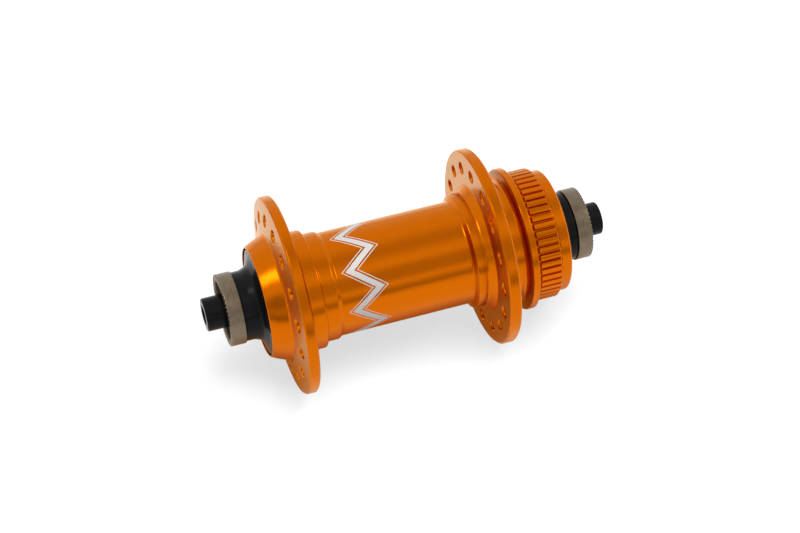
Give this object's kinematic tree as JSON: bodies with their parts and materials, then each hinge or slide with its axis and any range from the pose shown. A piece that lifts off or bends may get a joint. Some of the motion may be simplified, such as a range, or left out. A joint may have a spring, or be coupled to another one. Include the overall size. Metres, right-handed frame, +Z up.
{
  "type": "front bicycle wheel hub",
  "caption": "Flanged front wheel hub with sealed ball bearings, a splined disc seat and pull-off end caps for slotted dropouts.",
  "frame": {"origin": "on the wheel axis, midway between the two dropout faces", "axes": "+Y along the wheel axis towards the disc seat (the bicycle's left side), +X towards the front of the bicycle, +Z up"},
  "size_m": [0.0532, 0.1098, 0.0532],
  "materials": {
    "orange_anodised": "turned and anodised orange, glossy",
    "axle_alloy": "turned, natural",
    "bearing_steel": "ground and polished",
    "cage_polymer": "moulded, natural",
    "seal_rubber": "matt",
    "black_anodised": "turned and anodised black, satin",
    "ring_steel": "turned, warm grey, satin",
    "o_ring_rubber": "smooth"
  },
  "bodies": {
    "axle": {"axle": "axle_alloy", "left_inner_race": "bearing_steel", "right_inner_race": "bearing_steel"},
    "shell": {"hub_shell": "orange_anodised", "left_outer_race": "bearing_steel", "left_outside_seal": "seal_rubber", "left_inside_seal": "seal_rubber", "right_outer_race": "bearing_steel", "right_outside_seal": "seal_rubber", "right_inside_seal": "seal_rubber"},
    "left_cage": {"left_ball_cage": "cage_polymer", "left_ball_set": "bearing_steel"},
    "right_cage": {"right_ball_cage": "cage_polymer", "right_ball_set": "bearing_steel"},
    "left_cap": {"left_end_cap": "black_anodised", "left_grip_ring": "ring_steel", "left_cap_o_ring": "o_ring_rubber"},
    "right_cap": {"right_end_cap": "black_anodised", "right_grip_ring": "ring_steel", "right_cap_o_ring": "o_ring_rubber"}
  },
  "joints": [
    {"name": "shell_spin", "type": "hinge", "parent": "axle", "child": "shell", "pos_m": [0, 0, 0], "axis": [0, 1, 0], "continuous": true},
    {"name": "left_cage_spin", "type": "hinge", "parent": "axle", "child": "left_cage", "pos_m": [0, 0, 0], "axis": [0, 1, 0], "continuous": true},
    {"name": "right_cage_spin", "type": "hinge", "parent": "axle", "child": "right_cage", "pos_m": [0, 0, 0], "axis": [0, 1, 0], "continuous": true},
    {"name": "left_cap_pull", "type": "slide", "parent": "axle", "child": "left_cap", "axis": [0, -1, 0], "range_m": [0, 0.02]},
    {"name": "right_cap_pull", "type": "slide", "parent": "axle", "child": "right_cap", "axis": [0, 1, 0], "range_m": [0, 0.02]}
  ],
  "couplings": [
    {"joint": "left_cage_spin", "follows": "shell_spin", "ratio": 0.55814},
    {"joint": "right_cage_spin", "follows": "shell_spin", "ratio": 0.55814}
  ]
}
